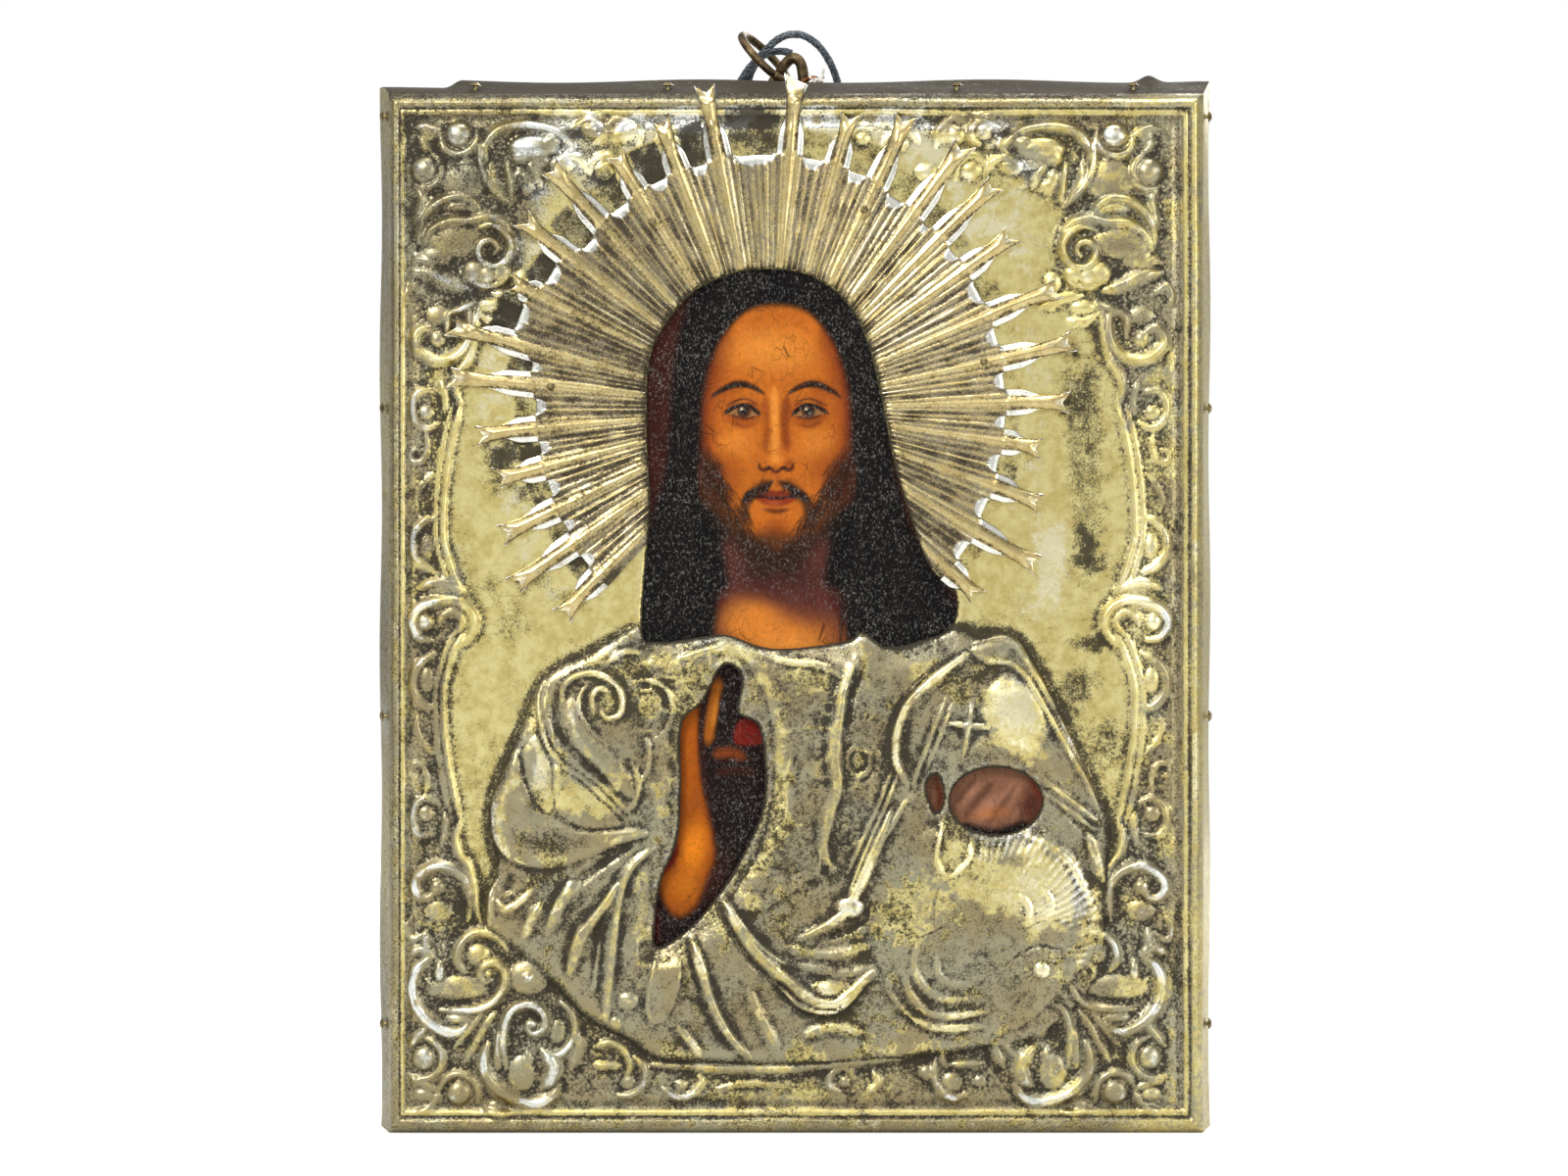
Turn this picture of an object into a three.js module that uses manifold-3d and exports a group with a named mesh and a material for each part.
// A small icon in a stamped metal cover. Millimetres, +Z up, the picture faces -Y.
// Heights are counted from the plane it stands on, depths from the front of the wooden board.
import * as THREE from 'three';
import { mergeVertices } from 'three/addons/utils/BufferGeometryUtils.js';
import Module from 'manifold-3d';

const wasm = await Module();
wasm.setup();

// Clearances
const seat_gap = 0.3;
const cut_overrun = 5;

// Board, battens and painting
const board_width = 169.4;
const board_height = 216.5;
const board_thickness = 20;
const panel_margin = 1.6;
const panel_thickness = 1.2;
const batten_length = 152;
const batten_width = 24;
const batten_proud = 3;
const groove_depth = 4;
const dovetail_flare = 1.6;
const upper_batten_inset = 49.4;
const lower_batten_inset = 45.1;

// Cover sheet
const sheet_thickness = 0.6;
const edge_bevel = 1.3;
const edge_drop = 1.8;
const rim_height = 1.3;
const hollow_offset = 2.3;
const bead_offset = 3.5;
const bead_height = 0.9;
const field_offset = 5;
const field_height = 0.45;
const side_flange_depth = 11.6;
const bottom_flange_depth = 18;
const splay_left = 2.8;
const splay_right = 2.4;
const splay_top = 4.1;
const edge_wave = 0.35;
const edge_wave_length = 61;
const columns = 36;
const rows = 46;

// Relief of the figure and of the ornament, as heights above the ground of the sheet
const robe_height = 2;
const robe_roll = 5;
const sleeve_height = 1.6;
const orb_height = 2;
const corner_height = 1.9;
const side_scroll_height = 1.2;
const fold_height = 1.3;
const fold_width = 4.2;
// Towards an opening the relief sinks to the lip's height, and keeps only a share of what is above it
const lip_height = 0.9;
const lip_reach = 5.3;
const lip_keeps_share = 0.35;

// Halo sheet
const halo_thickness = 0.5;
const halo_disc_radius = 50.5;
const ray_reach = 69;
const ray_half_width = 2;
const ray_flare = 0.6;
const ray_notch = 2.6;
const ray_ridge = 1.1;
const ray_count_per_side = 13;
const halo_axis_angle = 93.3;
const halo_first_angle = 8;
const halo_pitch_angle = 10.45;
const halo_rest_reach = 6;
const halo_clear = 0.4;

// Nails and pins
const nail_radius = 0.45;
const nail_head_radius = 1.3;
const nail_head_thickness = 0.6;
const nail_length = 9;
const nail_depth = 3.2;
const corner_nail_inset = 3.4;
const pin_head_radius = 0.9;
const pin_head_thickness = 0.4;
const pin_length = 8;
const pin_orbit = 46;
const fastener_sides = 8;

// Staple, ring and binding wire
const staple_wire_radius = 1.2;
const staple_width = 7.4;
const staple_rise = 10.2;
const staple_leg_depth = 10;
const staple_turn_angle = 20.5;
const shoulder_side = -3.6;
const shoulder_depth = 17;
const shoulder_rise = 7.3;
const shoulder_slope_angle = 42;
const ring_mean_radius = 6.8;
const ring_wire_radius = 0.9;
const ring_running_gap = 0.3;
const wire_radius = 0.3;
const wire_turns = 3;
const wire_pitch = 1.25;
const wire_start_rise = 1.1;
const wire_tail = 3.2;

// Cord and its knot
const cord_diameter = 1.7;
const cord_sides = 8;
const cord_steps = 58;
const knot_half_width = 2.1;
const knot_half_height = 2.6;

// Derived planes and sizes
const shell_gap = sheet_thickness + seat_gap;
const cover_width = board_width + 2 * shell_gap;
const cover_height = board_height + 2 * shell_gap;
const board_bottom = shell_gap;
const board_top = board_bottom + board_height;
const panel_front = -(seat_gap + panel_thickness);
const ground_back = panel_front - seat_gap;
const ground_front = ground_back - sheet_thickness;
const edge_depth = ground_front + edge_drop;
const face_left = -cover_width / 2;

const radians = (degrees) => THREE.MathUtils.degToRad(degrees);
const v3 = (x, y, z) => new THREE.Vector3(x, y, z);

// Places on the picture are shares of the cover's width from its left side and of its height from its foot
const on_cover = ([across, up]) => [face_left + across * cover_width, up * cover_height];

const face_opening_shares = [
  [0.473, 0.830], [0.521, 0.823], [0.563, 0.797], [0.587, 0.760], [0.605, 0.703], [0.620, 0.647],
  [0.641, 0.590], [0.665, 0.543], [0.695, 0.519], [0.689, 0.487], [0.647, 0.473], [0.611, 0.469],
  [0.581, 0.483], [0.557, 0.473], [0.473, 0.466], [0.415, 0.479], [0.382, 0.477], [0.331, 0.473],
  [0.311, 0.487], [0.320, 0.600], [0.317, 0.675], [0.323, 0.750], [0.365, 0.802], [0.419, 0.825],
];
const blessing_opening_shares = [
  [0.411, 0.450], [0.432, 0.440], [0.427, 0.407], [0.437, 0.400], [0.454, 0.392], [0.461, 0.357],
  [0.460, 0.318], [0.446, 0.286], [0.416, 0.243], [0.374, 0.201], [0.330, 0.180], [0.327, 0.206],
  [0.335, 0.244], [0.354, 0.281], [0.359, 0.335], [0.360, 0.393], [0.385, 0.415],
];
const orb_hand_centre_share = [0.745, 0.320];
const orb_hand_half_shares = [0.0565, 0.032];
const finger_opening_shares = [
  [0.673, 0.345], [0.659, 0.334], [0.670, 0.309], [0.681, 0.324],
];
const halo_centre_share = [0.467, 0.697];
const robe_outline_shares = [
  [0.311, 0.473], [0.240, 0.460], [0.188, 0.439], [0.155, 0.370], [0.125, 0.320], [0.128, 0.278],
  [0.148, 0.260], [0.126, 0.215], [0.190, 0.170], [0.262, 0.120], [0.300, 0.076], [0.520, 0.068],
  [0.700, 0.080], [0.800, 0.100], [0.868, 0.160], [0.880, 0.250], [0.868, 0.300], [0.846, 0.350],
  [0.812, 0.420], [0.776, 0.470], [0.757, 0.477], [0.725, 0.470], [0.689, 0.487], [0.557, 0.473],
  [0.473, 0.466], [0.415, 0.479],
];
// Each dome is its centre, its half axes and its height as a share of the height it is listed under
const sleeve_domes_shares = [
  [0.255, 0.335, 0.110, 0.120, 1], [0.752, 0.375, 0.115, 0.090, 1], [0.560, 0.300, 0.085, 0.150, 0.6],
  [0.330, 0.160, 0.150, 0.085, 0.7], [0.252, 0.397, 0.050, 0.045, 0.6],
];
const orb_dome_shares = [[0.733, 0.197, 0.145, 0.113, 1]];
const corner_domes_shares = [
  [0.110, 0.900, 0.085, 0.068, 1], [0.892, 0.900, 0.085, 0.068, 1],
  [0.135, 0.108, 0.105, 0.080, 1], [0.872, 0.108, 0.105, 0.080, 1],
  [0.178, 0.930, 0.050, 0.032, 0.6], [0.824, 0.930, 0.050, 0.032, 0.6],
];
const side_scroll_domes_shares = [
  [0.065, 0.750, 0.035, 0.050, 1], [0.065, 0.530, 0.040, 0.060, 1], [0.062, 0.235, 0.038, 0.045, 1],
  [0.928, 0.750, 0.035, 0.050, 1], [0.928, 0.530, 0.040, 0.060, 1], [0.930, 0.235, 0.038, 0.045, 1],
  [0.330, 0.045, 0.050, 0.022, 1], [0.560, 0.045, 0.060, 0.022, 1],
];
// Each fold of the dress is its width and height as shares of a fold's, and its line
const folds_shares = [
  [1.1, 1, [[0.151, 0.350], [0.145, 0.300], [0.179, 0.276], [0.233, 0.276], [0.299, 0.287]]],
  [0.8, 0.8, [[0.317, 0.268], [0.289, 0.232], [0.278, 0.176], [0.270, 0.119]]],
  [1, 0.9, [[0.281, 0.239], [0.240, 0.199], [0.223, 0.164]]],
  [0.9, 0.7, [[0.233, 0.247], [0.197, 0.199]]],
  [0.9, 0.7, [[0.161, 0.237], [0.131, 0.204]]],
  [0.9, 0.9, [[0.372, 0.190], [0.395, 0.134], [0.439, 0.082]]],
  [1.2, 1, [[0.409, 0.227], [0.450, 0.175], [0.503, 0.134], [0.545, 0.127], [0.600, 0.158]]],
  [1, 0.8, [[0.615, 0.308], [0.593, 0.273], [0.568, 0.218], [0.505, 0.190]]],
  [0.9, 0.8, [[0.573, 0.455], [0.553, 0.400], [0.550, 0.345], [0.537, 0.270]]],
  [1, 1, [[0.708, 0.460], [0.654, 0.428], [0.622, 0.376], [0.623, 0.345], [0.600, 0.302], [0.573, 0.249]]],
  [1, 1, [[0.725, 0.472], [0.768, 0.470], [0.800, 0.434], [0.836, 0.381], [0.876, 0.307]]],
  [0.8, 0.6, [[0.789, 0.345], [0.863, 0.302]]],
  [0.8, 0.6, [[0.681, 0.410], [0.642, 0.331]]],
];
// Tip radius of each ray as a share of the reach, from the middle outwards
const right_reach_shares = [
  0.995, 0.935, 0.985, 1, 0.975, 0.915, 0.955, 0.950, 0.915, 0.840, 0.880, 0.950, 0.865,
];
const left_reach_shares = [
  1, 0.940, 0.905, 0.985, 0.950, 0.875, 0.985, 0.980, 0.900, 0.860, 0.910, 0.960, 0.895,
];
// Pins sit on rays, counted from the middle
const pin_ray_places = [2, 7];

function to_solid(geometry) {
  const bare = geometry.index ? geometry.toNonIndexed() : geometry.clone();
  for (const name of Object.keys(bare.attributes)) {
    if (name !== 'position') bare.deleteAttribute(name);
  }
  const merged = mergeVertices(bare);
  return new wasm.Manifold(new wasm.Mesh({
    numProp: 3,
    vertProperties: new Float32Array(merged.attributes.position.array),
    triVerts: new Uint32Array(merged.index.array),
  }));
}

function from_solid(solid) {
  const { vertProperties, triVerts } = solid.getMesh();
  const geometry = new THREE.BufferGeometry();
  geometry.setAttribute('position', new THREE.BufferAttribute(vertProperties, 3));
  geometry.setIndex(new THREE.BufferAttribute(triVerts, 1));
  geometry.computeVertexNormals();
  return geometry;
}

function cut(geometry, tools) {
  let solid = to_solid(geometry);
  for (const tool of tools) solid = solid.subtract(to_solid(tool));
  return from_solid(solid);
}

function block(low, high) {
  const size = v3(...high).sub(v3(...low));
  const middle = v3(...high).add(v3(...low)).multiplyScalar(0.5);
  return new THREE.BoxGeometry(size.x, size.y, size.z).translate(middle.x, middle.y, middle.z);
}

// A prism through the whole depth of the sheet, over an outline given as points across and up
function through_prism(points) {
  const shape = new THREE.Shape(points.map(([x, z]) => new THREE.Vector2(x, z)));
  const depth = 2 * cut_overrun - ground_front + rim_height + orb_height + robe_height;
  return new THREE.ExtrudeGeometry(shape, { depth, bevelEnabled: false })
    .rotateX(Math.PI / 2).translate(0, cut_overrun, 0);
}

function smooth(points, count) {
  const path = points.map(([x, z]) => v3(x, 0, z));
  return new THREE.CatmullRomCurve3(path, true, 'centripetal').getSpacedPoints(count).slice(0, count)
    .map((point) => [point.x, point.z]);
}

function ellipse_points([centre_x, centre_z], [half_x, half_z], count) {
  return Array.from({ length: count }, (_, i) => {
    const angle = 2 * Math.PI * i / count;
    return [centre_x + half_x * Math.cos(angle), centre_z + half_z * Math.sin(angle)];
  });
}

const cylinder_between = (start, end, radius, sides) => {
  const axis = end.clone().sub(start);
  const turn = new THREE.Quaternion().setFromUnitVectors(v3(0, 1, 0), axis.clone().normalize());
  const middle = start.clone().add(end).multiplyScalar(0.5);
  return new THREE.CylinderGeometry(radius, radius, axis.length(), sides)
    .applyQuaternion(turn).translate(middle.x, middle.y, middle.z);
};

// Relief of the cover sheet
function segment_distance(x, z, [ax, az], [bx, bz]) {
  const run_x = bx - ax;
  const run_z = bz - az;
  const along = ((x - ax) * run_x + (z - az) * run_z) / (run_x * run_x + run_z * run_z);
  const share = THREE.MathUtils.clamp(along, 0, 1);
  return Math.hypot(x - ax - share * run_x, z - az - share * run_z);
}

function line_distance(x, z, points) {
  let least = Infinity;
  for (let i = 1; i < points.length; i++) {
    least = Math.min(least, segment_distance(x, z, points[i - 1], points[i]));
  }
  return least;
}

function inside(x, z, outline) {
  let within = false;
  outline.forEach(([ax, az], i) => {
    const [bx, bz] = outline[(i + 1) % outline.length];
    if ((az > z) !== (bz > z) && x < ax + (z - az) * (bx - ax) / (bz - az)) within = !within;
  });
  return within;
}

const robe_outline = robe_outline_shares.map(on_cover);
const folds = folds_shares.map(([wide, high, line]) => ({ wide, high, line: line.map(on_cover) }));

function robe_relief(x, z) {
  if (!inside(x, z, robe_outline)) return 0;
  const depth = line_distance(x, z, [...robe_outline, robe_outline[0]]);
  return robe_height * THREE.MathUtils.smoothstep(depth, 0, robe_roll);
}

function dome_relief(x, z, domes, height) {
  return domes.reduce((sum, [across, up, half_across, half_up, share]) => {
    const [cx, cz] = on_cover([across, up]);
    const far = Math.hypot((x - cx) / (half_across * cover_width), (z - cz) / (half_up * cover_height));
    return far < 1 ? sum + share * height * (1 - far * far) ** 1.5 : sum;
  }, 0);
}

function fold_relief(x, z) {
  return Math.max(...folds.map(({ wide, high, line }) => {
    const far = line_distance(x, z, line) / (wide * fold_width);
    return far < 1 ? high * fold_height * Math.cos(Math.PI / 2 * far) ** 2 : 0;
  }));
}

const moulding = [
  [0, -edge_drop], [edge_bevel, rim_height], [hollow_offset, 0], [bead_offset, bead_height],
  [field_offset, field_height],
];

function moulding_relief(x, z) {
  const inset = Math.max(0, Math.min(x - face_left, -face_left - x, z, cover_height - z));
  const last = moulding.length - 1;
  if (inset >= moulding[last][0]) {
    return field_height * (1 - THREE.MathUtils.smoothstep(inset, field_offset, 4 * field_offset));
  }
  const i = moulding.findIndex(([offset]) => offset > inset);
  const [from, low] = moulding[i - 1];
  const [to, high] = moulding[i];
  return low + (high - low) * (inset - from) / (to - from);
}

function full_relief(x, z) {
  return moulding_relief(x, z) + robe_relief(x, z) + fold_relief(x, z)
    + dome_relief(x, z, sleeve_domes_shares, sleeve_height)
    + dome_relief(x, z, orb_dome_shares, orb_height)
    + dome_relief(x, z, corner_domes_shares, corner_height)
    + dome_relief(x, z, side_scroll_domes_shares, side_scroll_height);
}

// The openings' outlines, in the order face, blessing hand, orb hand and finger
const face_opening = smooth(face_opening_shares.map(on_cover), 44);
const opening_outlines = [
  face_opening,
  smooth(blessing_opening_shares.map(on_cover), 30),
  ellipse_points(
    on_cover(orb_hand_centre_share),
    [orb_hand_half_shares[0] * cover_width, orb_hand_half_shares[1] * cover_height], 20,
  ),
  smooth(finger_opening_shares.map(on_cover), 12),
];

function opening_distance(x, z) {
  if (opening_outlines.some((outline) => inside(x, z, outline))) return 0;
  return Math.min(...opening_outlines.map((outline) => line_distance(x, z, [...outline, outline[0]])));
}

function relief(x, z) {
  const full = full_relief(x, z);
  if (full <= lip_height) return full;
  const sunk = lip_height + lip_keeps_share * (full - lip_height);
  return sunk + (full - sunk) * THREE.MathUtils.smoothstep(opening_distance(x, z), 0, lip_reach);
}

// Grid lines follow the moulding near both sides and are even between them
function grid_lines(low, high, cells) {
  const offsets = moulding.map(([offset]) => offset);
  const inner = high - low - 2 * field_offset;
  const lines = offsets.map((offset) => low + offset);
  for (let i = 1; i < cells; i++) lines.push(low + field_offset + inner * i / cells);
  return [...lines, ...offsets.reverse().map((offset) => high - offset)];
}

class Shell {
  constructor() {
    this.points = [];
    this.triangles = [];
  }

  add(x, y, z) {
    this.points.push(x, y, z);
    return this.points.length / 3 - 1;
  }

  quad(a, b, c, d) {
    this.triangles.push(a, b, c, a, c, d);
  }

  geometry() {
    const geometry = new THREE.BufferGeometry();
    geometry.setAttribute('position', new THREE.Float32BufferAttribute(this.points, 3));
    geometry.setIndex(this.triangles);
    geometry.computeVertexNormals();
    return geometry;
  }
}

const xs = grid_lines(face_left, -face_left, columns);
const zs = grid_lines(0, cover_height, rows);

// The rim of the grid as places in order, with the way out of the sheet at each
function rim_places() {
  const last_x = xs.length - 1;
  const last_z = zs.length - 1;
  const places = [];
  for (let i = 0; i < last_x; i++) places.push([i, 0]);
  for (let j = 0; j < last_z; j++) places.push([last_x, j]);
  for (let i = last_x; i > 0; i--) places.push([i, last_z]);
  for (let j = last_z; j > 0; j--) places.push([0, j]);
  return places.map(([i, j]) => ({
    i, j, side: i === 0 ? -1 : Number(i === last_x), rise: j === 0 ? -1 : Number(j === last_z),
  }));
}

function flange_point({ i, j, side, rise }, share, inward) {
  const splay = side < 0 ? splay_left : splay_right;
  const wave = 1 + edge_wave * Math.sin(2 * Math.PI * (xs[i] + zs[j]) / edge_wave_length) / splay_top;
  const depth = rise < 0 ? bottom_flange_depth : side_flange_depth;
  const out_x = side * splay * share * wave;
  const out_z = rise > 0 ? splay_top * share * wave : 0;
  return [
    xs[i] + out_x - side * inward,
    edge_depth + share * depth + (share === 0 ? inward : 0),
    zs[j] + out_z - rise * inward,
  ];
}

const flange_shares = [0, 0.5, 1];

function cover_geometry() {
  const shell = new Shell();
  const layers = [0, sheet_thickness].map((back) => {
    const face = xs.map((x, i) => zs.map((z, j) => {
      const on_rim = i === 0 || j === 0 || i === xs.length - 1 || j === zs.length - 1;
      return on_rim ? -1 : shell.add(x, ground_front - relief(x, z) + back, z);
    }));
    const rings = flange_shares.map((share) => rim_places().map((place) => {
      const index = shell.add(...flange_point(place, share, back));
      if (share === 0) face[place.i][place.j] = index;
      return index;
    }));
    return { face, rings };
  });
  layers.forEach(({ face, rings }, layer) => {
    const quad = layer === 0 ? shell.quad.bind(shell) : (a, b, c, d) => shell.quad(a, d, c, b);
    for (let i = 0; i < xs.length - 1; i++) {
      for (let j = 0; j < zs.length - 1; j++) {
        quad(face[i][j], face[i + 1][j], face[i + 1][j + 1], face[i][j + 1]);
      }
    }
    for (let k = 0; k < rings.length - 1; k++) {
      rings[k].forEach((near, i) => {
        const next = (i + 1) % rings[k].length;
        quad(near, rings[k + 1][i], rings[k + 1][next], rings[k][next]);
      });
    }
  });
  const [outer, inner] = layers.map(({ rings }) => rings[rings.length - 1]);
  outer.forEach((near, i) => {
    const next = (i + 1) % outer.length;
    shell.quad(near, inner[i], inner[next], outer[next]);
  });
  return shell.geometry();
}

// Halo sheet: a fan of raised rays round the face opening, laid over whatever relief is under it
const halo_centre = on_cover(halo_centre_share);
const halo_inner = smooth(face_opening_shares.map(on_cover), 160);

function rest_height(x, z) {
  let highest = relief(x, z);
  for (let i = 0; i < 24; i++) {
    const angle = 2 * Math.PI * i / 8;
    const reach = halo_rest_reach * (1 + Math.floor(i / 8)) / 3;
    const near_z = Math.min(z + reach * Math.sin(angle), cover_height - edge_bevel);
    highest = Math.max(highest, relief(x + reach * Math.cos(angle), near_z));
  }
  return Math.max(0, highest);
}

function opening_radius(angle) {
  const [cx, cz] = halo_centre;
  let best = 0;
  let least = Infinity;
  for (const [x, z] of halo_inner) {
    const turn = Math.atan2(z - cz, x - cx) - angle;
    const off = Math.abs(Math.atan2(Math.sin(turn), Math.cos(turn)));
    if (off < least) {
      least = off;
      best = Math.hypot(x - cx, z - cz);
    }
  }
  return best;
}

function halo_rays() {
  const rays = [];
  for (let k = 0; k < ray_count_per_side; k++) {
    const away = halo_first_angle + k * halo_pitch_angle;
    rays.push({ angle: halo_axis_angle - away, reach: ray_reach * right_reach_shares[k], place: k });
    rays.push({ angle: halo_axis_angle + away, reach: ray_reach * left_reach_shares[k], place: k });
  }
  return rays.sort((a, b) => a.angle - b.angle);
}

function halo_point(angle, radius, offset) {
  const [cx, cz] = halo_centre;
  const along = radians(angle);
  return [
    cx + radius * Math.cos(along) - offset * Math.sin(along),
    cz + radius * Math.sin(along) + offset * Math.cos(along),
  ];
}

function halo_geometry() {
  const shell = new Shell();
  const lay = ([x, z], ridge) => {
    const back = ground_front - rest_height(x, z) - halo_clear - ridge;
    return [shell.add(x, back - halo_thickness, z), shell.add(x, back, z)];
  };
  const disc_shares = [0, 0.5, 1];
  const tail_shares = [0.3, 0.65, 1];
  const lines = [];
  halo_rays().forEach(({ angle, reach }) => {
    [-1, 0, 1].forEach((side) => {
      const base = opening_radius(radians(angle + side * halo_pitch_angle / 5)) + seat_gap;
      const start = Math.min(base, halo_disc_radius - ray_notch);
      const disc = disc_shares.map((share) => {
        const radius = start + share * (halo_disc_radius - start);
        const spread = side * ray_half_width * radius / halo_disc_radius;
        return lay(halo_point(angle, radius, spread), side === 0 ? ray_ridge * share : 0);
      });
      const tail = tail_shares.map((share) => {
        const radius = halo_disc_radius + share * (reach - halo_disc_radius)
          - (side === 0 && share === 1 ? ray_notch : 0);
        const flare = share === 1 ? ray_flare : 0;
        return lay(halo_point(angle, radius, side * (ray_half_width + flare)), side === 0 ? ray_ridge : 0);
      });
      lines.push({ disc, tail, side });
    });
  });
  const strip = (a, b) => {
    for (let k = 0; k < a.length - 1; k++) {
      shell.quad(a[k][0], b[k][0], b[k + 1][0], a[k + 1][0]);
      shell.quad(a[k][1], a[k + 1][1], b[k + 1][1], b[k][1]);
    }
  };
  const wall = (a, b) => shell.quad(a[0], b[0], b[1], a[1]);
  const side_wall = (chain) => {
    for (let k = 0; k < chain.length - 1; k++) wall(chain[k], chain[k + 1]);
  };
  lines.forEach((line, i) => {
    const next = lines[i + 1];
    const whole = [...line.disc, ...line.tail];
    const rim = line.disc[line.disc.length - 1];
    if (i === 0) side_wall(whole.slice().reverse());
    else if (line.side === -1) side_wall([rim, ...line.tail].reverse());
    if (!next) {
      side_wall(whole);
      return;
    }
    if (line.side === 1) side_wall([rim, ...line.tail]);
    const next_whole = [...next.disc, ...next.tail];
    if (next.side === -1) {
      strip(next.disc, line.disc);
      wall(next.disc[next.disc.length - 1], rim);
    } else {
      strip(next_whole, whole);
      wall(next_whole[next_whole.length - 1], whole[whole.length - 1]);
    }
    wall(line.disc[0], next.disc[0]);
  });
  return shell.geometry();
}

// Nails and pins: a round head on a straight shank, with the head's underside at the origin
function nail_geometry(head_radius, head_thickness, length) {
  const profile = [
    [0, -length], [nail_radius, -length + 2 * nail_radius], [nail_radius, 0], [head_radius, 0],
    [head_radius / 2, head_thickness], [0, head_thickness],
  ];
  return new THREE.LatheGeometry(profile.map(([r, up]) => new THREE.Vector2(r, up)), fastener_sides);
}

// Each nail's place is its seat on the flange, its way out and the height or side that it is set at
function nail_places() {
  const share = (nail_depth - edge_depth) / side_flange_depth;
  const rise = (height) => board_bottom + height * board_height;
  const high = board_top - corner_nail_inset;
  const side_heights = [high, rise(0.7), rise(0.4), rise(0.1)];
  const top_sides = [-0.4, -0.16, 0.2, 0.42].map((across) => across * board_width);
  const wave = edge_wave * share;
  const lean = (splay) => seat_gap + wave + nail_head_radius * splay / side_flange_depth;
  const places = [];
  side_heights.forEach((z, i) => {
    const left = face_left - splay_left * share - lean(splay_left);
    const right = -face_left + splay_right * share + lean(splay_right);
    places.push({ name: `left_nail_${i + 1}`, seat: v3(left, nail_depth, z), out: v3(-1, 0, 0) });
    places.push({ name: `right_nail_${i + 1}`, seat: v3(right, nail_depth, z), out: v3(1, 0, 0) });
  });
  top_sides.forEach((x, i) => {
    const up = cover_height + splay_top * share + lean(splay_top);
    places.push({ name: `top_nail_${i + 1}`, seat: v3(x, nail_depth, up), out: v3(0, 0, 1) });
  });
  return places;
}

function pin_places() {
  const places = [];
  [-1, 1].forEach((way) => pin_ray_places.forEach((k) => {
    const angle = halo_axis_angle + way * (halo_first_angle + k * halo_pitch_angle);
    const [x, z] = halo_point(angle, pin_orbit, 0);
    const out = ground_front - rest_height(x, z) - halo_clear - halo_thickness - ray_ridge - seat_gap;
    const name = `halo_pin_${way < 0 ? 'right' : 'left'}_${places.length % 2 + 1}`;
    places.push({ name, seat: v3(x, out, z), out: v3(0, -1, 0) });
  }));
  return places;
}

const nail_hole = ({ seat, out }, radius, length) => cylinder_between(
  seat.clone().addScaledVector(out, cut_overrun),
  seat.clone().addScaledVector(out, -length - seat_gap), radius + seat_gap, fastener_sides,
);

const nails = nail_places();
const pins = pin_places();
const nail_holes = nails.map((place) => nail_hole(place, nail_radius, nail_length));
const pin_holes = pins.map((place) => nail_hole(place, nail_radius, pin_length));

// Staple: a bent wire whose left shoulder carries the ring, turned a little about the upright
const shoulder = v3(shoulder_side, shoulder_depth, board_top + shoulder_rise);
const staple_across = v3(Math.cos(radians(staple_turn_angle)), -Math.sin(radians(staple_turn_angle)), 0);
const slope = radians(shoulder_slope_angle);
const shoulder_run = staple_across.clone().multiplyScalar(Math.cos(slope)).add(v3(0, 0, Math.sin(slope)));
// Points of the staple across its width and up its rise, from the shoulder
const staple_shares = [
  [-0.26, -0.62], [-0.26, -0.40], [-0.17, -0.16], [0, 0], [0.2, 0.2], [0.43, 0.31], [0.64, 0.22],
  [0.735, -0.04], [0.74, -0.35], [0.74, -0.62],
];

const staple_point = ([across, up]) => shoulder.clone()
  .addScaledVector(staple_across, across * staple_width).add(v3(0, 0, up * staple_rise));

const leg_tip = (share) => {
  const point = staple_point(share);
  point.z = board_top - staple_leg_depth;
  return point;
};

const leg_shares = [staple_shares[0], staple_shares[staple_shares.length - 1]];
const staple_path = [leg_tip(leg_shares[0]), ...staple_shares.map(staple_point), leg_tip(leg_shares[1])];

function swept(points, radius, sides, steps) {
  const section = new THREE.Shape(ellipse_points([0, 0], [radius, radius], sides)
    .map(([x, y]) => new THREE.Vector2(x, y)));
  const path = new THREE.CatmullRomCurve3(points, false, 'centripetal');
  return new THREE.ExtrudeGeometry(section, { steps, bevelEnabled: false, extrudePath: path });
}

const leg_holes = leg_shares.map((share) => {
  const top = leg_tip(share);
  const bottom = top.clone();
  top.z = board_top + cut_overrun;
  bottom.z -= seat_gap;
  return cylinder_between(bottom, top, staple_wire_radius + seat_gap, 12);
});

// Ring: hangs on the shoulder, square to its wire, and leans to the upper left
const ring_hang = ring_mean_radius - ring_wire_radius - staple_wire_radius - ring_running_gap;
const ring_lean = v3(0, 1, 0).cross(shoulder_run).normalize().negate();
const ring_centre = shoulder.clone().addScaledVector(ring_lean, ring_hang);
const ring_turn = new THREE.Quaternion().setFromUnitVectors(v3(0, 0, 1), shoulder_run);

// Binding wire: a few turns round the staple's right leg and a loose tail
function binding_wire_points() {
  const leg = staple_point(staple_shares[staple_shares.length - 2]);
  const orbit = staple_wire_radius + seat_gap + wire_radius;
  const start = board_top + wire_start_rise;
  const per_turn = 12;
  const points = [];
  for (let i = 0; i <= wire_turns * per_turn; i++) {
    const angle = 2 * Math.PI * i / per_turn;
    points.push(v3(
      leg.x + orbit * Math.cos(angle), leg.y + orbit * Math.sin(angle),
      start + wire_pitch * i / per_turn,
    ));
  }
  const last = points[points.length - 1];
  points.push(last.clone().add(v3(wire_tail / 4, wire_tail / 3, wire_pitch / 2)));
  points.push(last.clone().add(v3(wire_tail, wire_tail / 2, wire_tail / 2)));
  return points;
}

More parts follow.
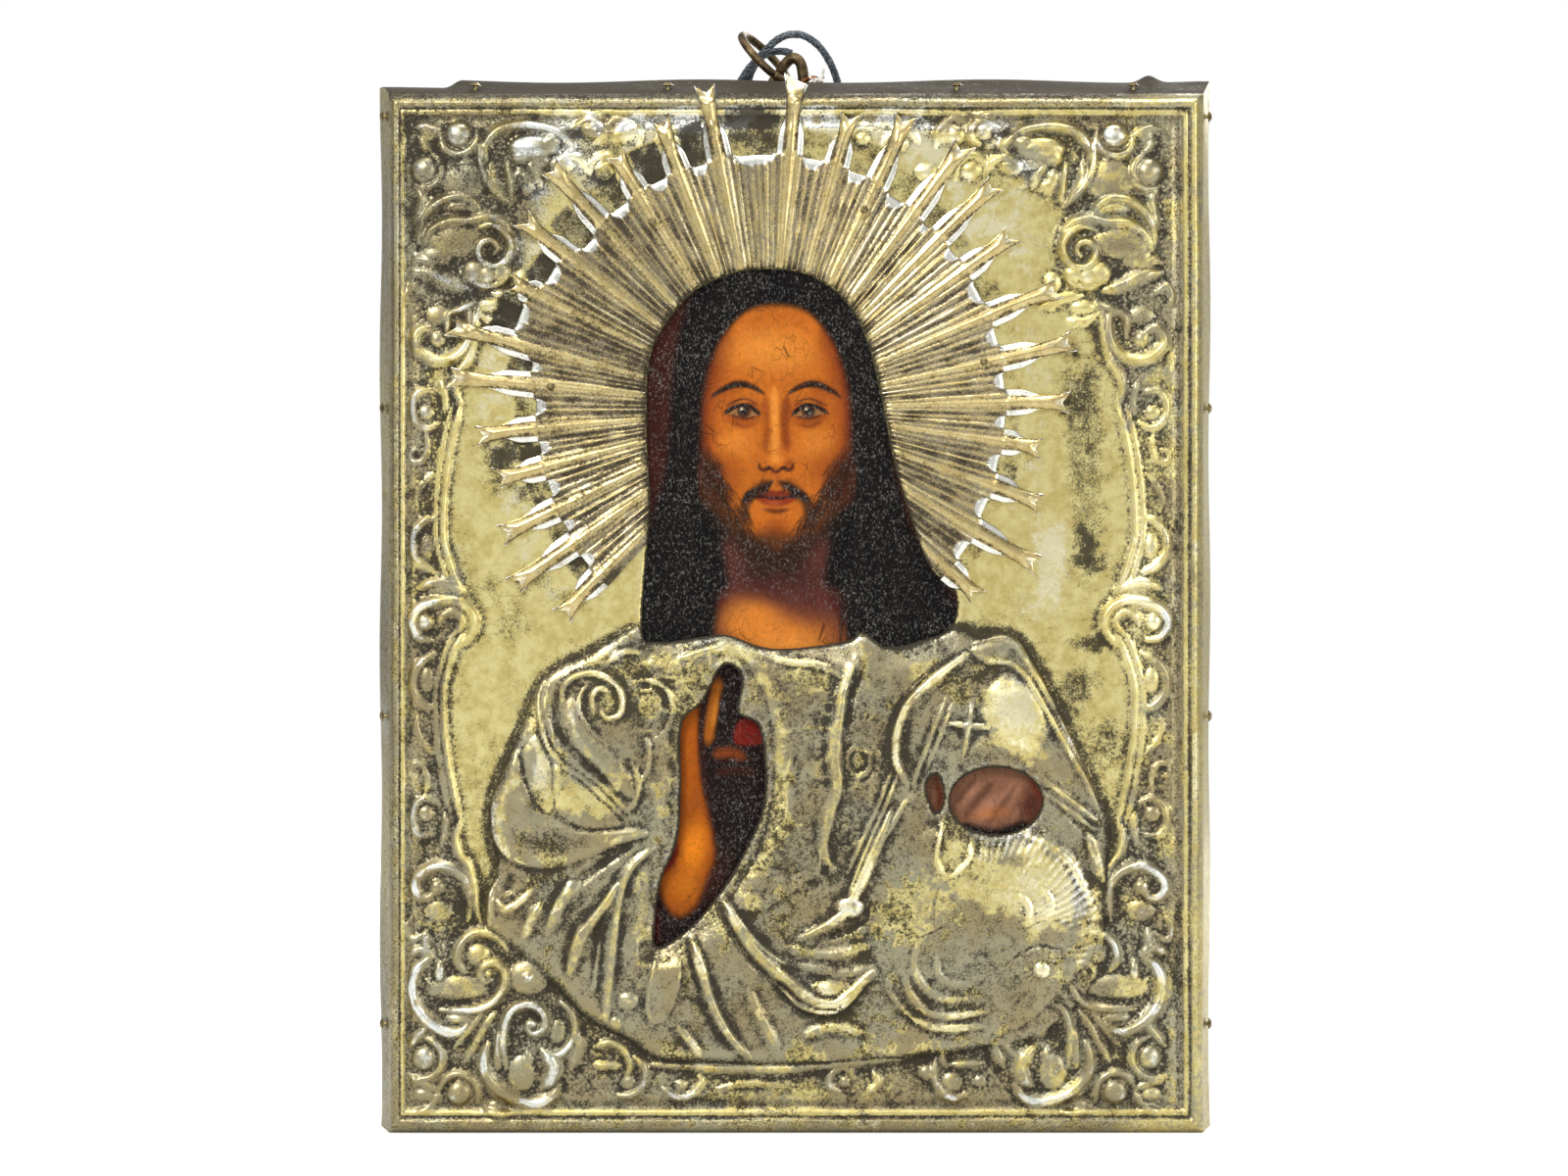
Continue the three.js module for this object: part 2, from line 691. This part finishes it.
// Route of the cord, chosen by hand: from the staple's crown back through the ring, down behind the board,
// round and up again, through the ring, over in an arch and down behind the board to its knot
const cord_route = [
  [-1.0, 18.9, 229.3], [-3.4, 19.6, 229.8], [-6.6, 20.2, 229.2], [-9.2, 20.9, 226.4], [-10.5, 21.3, 222.0],
  [-10.9, 21.5, 216.0], [-10.8, 21.6, 209.0], [-10.8, 21.6, 201.5], [-11.5, 21.6, 197.4],
  [-14.4, 21.6, 195.0], [-17.3, 21.6, 197.2], [-18.0, 21.6, 201.5], [-17.0, 21.6, 209.0],
  [-15.2, 21.4, 216.0], [-13.2, 20.9, 221.0], [-10.6, 19.4, 225.4], [-7.3, 17.7, 228.9],
  [-3.6, 16.3, 232.1], [0.4, 15.8, 233.0], [4.4, 16.6, 231.0], [7.4, 18.2, 227.0], [9.2, 20.0, 222.0],
  [9.8, 21.4, 216.0], [9.8, 22.0, 209.0], [9.8, 22.4, 202.0], [9.8, 22.5, 196.5],
].map((place) => v3(...place));

function knot_place() {
  const end = cord_route[cord_route.length - 1];
  return v3(end.x, end.y, end.z - seat_gap - knot_half_height);
}

// Battens: dovetailed strips let into the back of the board
function batten_outline(height, clear) {
  const neck = batten_width / 2 - dovetail_flare + clear;
  const foot = batten_width / 2 + clear;
  const proud = board_thickness + (clear > 0 ? cut_overrun : batten_proud);
  const inner = board_thickness - groove_depth - clear;
  return [
    [inner, height - foot], [board_thickness, height - neck], [proud, height - neck],
    [proud, height + neck], [board_thickness, height + neck], [inner, height + foot],
  ];
}

function batten_geometry(height, clear, from, to) {
  const shape = new THREE.Shape(batten_outline(height, clear).map(([y, z]) => new THREE.Vector2(y, z)));
  return new THREE.ExtrudeGeometry(shape, { depth: to - from, bevelEnabled: false })
    .applyMatrix4(new THREE.Matrix4().makeBasis(v3(0, 1, 0), v3(0, 0, 1), v3(1, 0, 0)))
    .translate(from, 0, 0);
}

const batten_span = (way) => {
  const open_end = way * board_width / 2;
  return [open_end, open_end - way * batten_length].sort((a, b) => a - b);
};
const batten_spans = { upper: batten_span(1), lower: batten_span(-1) };
const batten_heights = { upper: board_top - upper_batten_inset, lower: board_bottom + lower_batten_inset };

function groove(which) {
  const [from, to] = batten_spans[which];
  const open_low = which === 'lower' ? cut_overrun : seat_gap;
  const open_high = which === 'upper' ? cut_overrun : seat_gap;
  return batten_geometry(batten_heights[which], seat_gap, from - open_low, to + open_high);
}

function board_geometry() {
  const half = board_width / 2;
  const plank = block([-half, 0, board_bottom], [half, board_thickness, board_top]);
  return cut(plank, [groove('upper'), groove('lower'), ...nail_holes, ...pin_holes, ...leg_holes]);
}

function panel_geometry() {
  const half = board_width / 2 - panel_margin;
  const low = [-half, panel_front, board_bottom + panel_margin];
  return cut(block(low, [half, -seat_gap, board_top - panel_margin]), pin_holes);
}

const opening_prisms = () => opening_outlines.map((outline) => through_prism(outline));

// Materials
function finish(color, roughness, metalness) {
  return new THREE.MeshStandardMaterial({ color, roughness, metalness });
}

const gilt = () => finish(0x9c8a5c, 0.42, 1);
const halo_gilt = () => finish(0xa8925a, 0.4, 1);
const wood = () => finish(0x5a3b22, 0.75, 0);
const batten_wood = () => finish(0x6e4a2b, 0.75, 0);
const paint = () => finish(0x6b3413, 0.5, 0);
const nail_brass = () => finish(0xc8b98a, 0.4, 1);
const dark_brass = () => finish(0x5c4b2e, 0.5, 1);
const copper = () => finish(0xb06a3c, 0.4, 1);
const cord_grey = () => finish(0x2c353d, 0.45, 0);

const icon = new THREE.Group();
const cord_names = ['hanging_cord', 'cord_knot'];

function add(name, geometry, material, place, turn) {
  const mesh = new THREE.Mesh(geometry, material);
  mesh.name = name;
  if (place) mesh.position.copy(place);
  if (turn) mesh.quaternion.copy(turn);
  icon.add(mesh);
  return mesh;
}

add('icon_board', board_geometry(), wood());
for (const which of ['upper', 'lower']) {
  add(`${which}_batten`, batten_geometry(batten_heights[which], 0, ...batten_spans[which]), batten_wood());
}
add('painted_panel', panel_geometry(), paint());
add('cover_sheet', cut(cover_geometry(), [...opening_prisms(), ...nail_holes, ...pin_holes]), gilt());
add('halo_sheet', cut(halo_geometry(), pin_holes), halo_gilt());

function add_fastener({ name, seat, out }, geometry) {
  add(name, geometry, nail_brass(), seat, new THREE.Quaternion().setFromUnitVectors(v3(0, 1, 0), out));
}

for (const nail of nails) {
  add_fastener(nail, nail_geometry(nail_head_radius, nail_head_thickness, nail_length));
}
for (const pin of pins) {
  add_fastener(pin, nail_geometry(pin_head_radius, pin_head_thickness, pin_length));
}
add('hanging_staple', swept(staple_path, staple_wire_radius, 10, 34), dark_brass());
const ring = new THREE.TorusGeometry(ring_mean_radius, ring_wire_radius, 10, 32);
add('hanging_ring', ring, dark_brass(), ring_centre, ring_turn);
add('binding_wire', swept(binding_wire_points(), wire_radius, 5, 44), copper());
add('hanging_cord', swept(cord_route, cord_diameter / 2, cord_sides, cord_steps), cord_grey());
const knot = new THREE.SphereGeometry(1, 10, 8).rotateX(Math.PI / 2)
  .scale(knot_half_width, knot_half_width, knot_half_height);
add('cord_knot', knot, cord_grey(), knot_place());

// The finished object stands with the middle of its foot at the origin, its cord left out of that measure
icon.updateMatrixWorld(true);
const extent = new THREE.Box3();
for (const mesh of icon.children) {
  if (!cord_names.includes(mesh.name)) extent.expandByObject(mesh, true);
}
const middle = extent.getCenter(v3(0, 0, 0));
icon.position.set(-middle.x, -middle.y, -extent.min.z);

export default icon;
